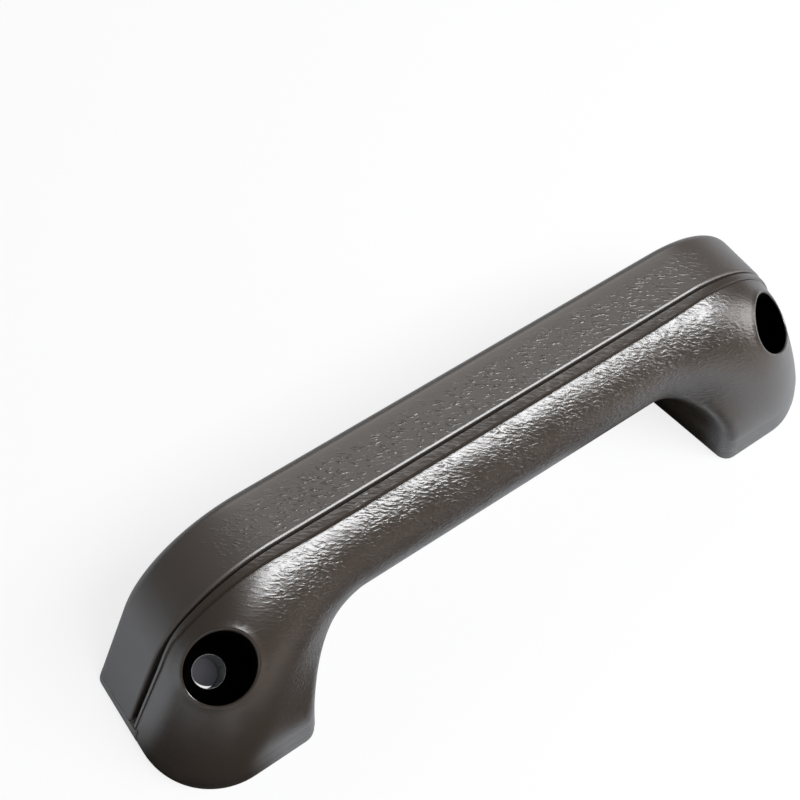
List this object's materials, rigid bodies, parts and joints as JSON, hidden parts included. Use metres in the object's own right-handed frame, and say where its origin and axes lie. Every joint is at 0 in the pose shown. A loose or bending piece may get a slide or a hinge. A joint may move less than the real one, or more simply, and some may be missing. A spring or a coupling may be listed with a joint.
{
  "type": "door pull handle",
  "caption": "Fixed door pull handle for a vehicle: a round grip on flared legs, with a cover over its outer face and screw recesses in both ends.",
  "frame": {"origin": "centre of the bounding box on the mounting plane", "axes": "+X along the handle, +Z away from the door, the round side with the screw recesses at -Y and the flat side at +Y"},
  "size_m": [0.2404, 0.0552, 0.059],
  "materials": {
    "grip_skin": "heavy leather grain on the grip, fine grain on the legs",
    "cover_plastic": "fine grain",
    "insert_plastic": "smooth, half gloss"
  },
  "bodies": {
    "root": {"grip_body": "grip_skin", "outer_cover": "cover_plastic", "left_foot_insert": "insert_plastic", "right_foot_insert": "insert_plastic"}
  },
  "joints": []
}
